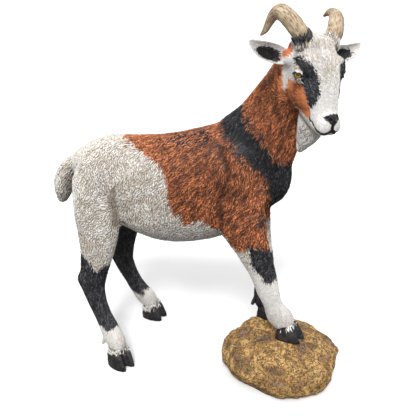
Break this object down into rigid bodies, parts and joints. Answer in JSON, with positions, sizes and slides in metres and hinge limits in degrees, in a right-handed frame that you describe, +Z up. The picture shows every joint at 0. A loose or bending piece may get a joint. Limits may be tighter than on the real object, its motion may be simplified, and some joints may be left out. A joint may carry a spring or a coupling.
{
  "type": "goat statue",
  "caption": "Painted cast-resin statue of a horned goat with carved fur, standing with its head turned aside and its front feet up on a boulder, for a garden or a display.",
  "frame": {"origin": "on the ground, under the middle of the statue's box", "axes": "+Z up, -Y the way the trunk faces, -X the goat's right, to which its head turns"},
  "size_m": [0.3834, 0.9036, 1.0768],
  "materials": {
    "painted_coat": "satin painted resin, cream white, rust brown and blue-black patches with dark carved recesses",
    "painted_horn": "satin painted resin, tan with brown grooves",
    "painted_hoof": "semi-gloss black paint",
    "painted_eye": "gloss amber with a dark bar pupil",
    "painted_stone": "matte painted resin, ochre with dark grey patches and pits"
  },
  "bodies": {
    "root": {"beard": "painted_coat", "boulder": "painted_stone", "dewclaw_front_left_left": "painted_hoof", "dewclaw_front_left_right": "painted_hoof", "dewclaw_front_right_left": "painted_hoof", "dewclaw_front_right_right": "painted_hoof", "dewclaw_hind_left_left": "painted_hoof", "dewclaw_hind_left_right": "painted_hoof", "dewclaw_hind_right_left": "painted_hoof", "dewclaw_hind_right_right": "painted_hoof", "ear_left": "painted_coat", "ear_right": "painted_coat", "eye_left": "painted_eye", "eye_right": "painted_eye", "front_leg_left": "painted_coat", "front_leg_right": "painted_coat", "head": "painted_coat", "hind_leg_left": "painted_coat", "hind_leg_right": "painted_coat", "hoof_front_left": "painted_hoof", "hoof_front_right": "painted_hoof", "hoof_hind_left": "painted_hoof", "hoof_hind_right": "painted_hoof", "horn_left": "painted_horn", "horn_right": "painted_horn", "neck": "painted_coat", "tail": "painted_coat", "trunk": "painted_coat"}
  },
  "joints": []
}
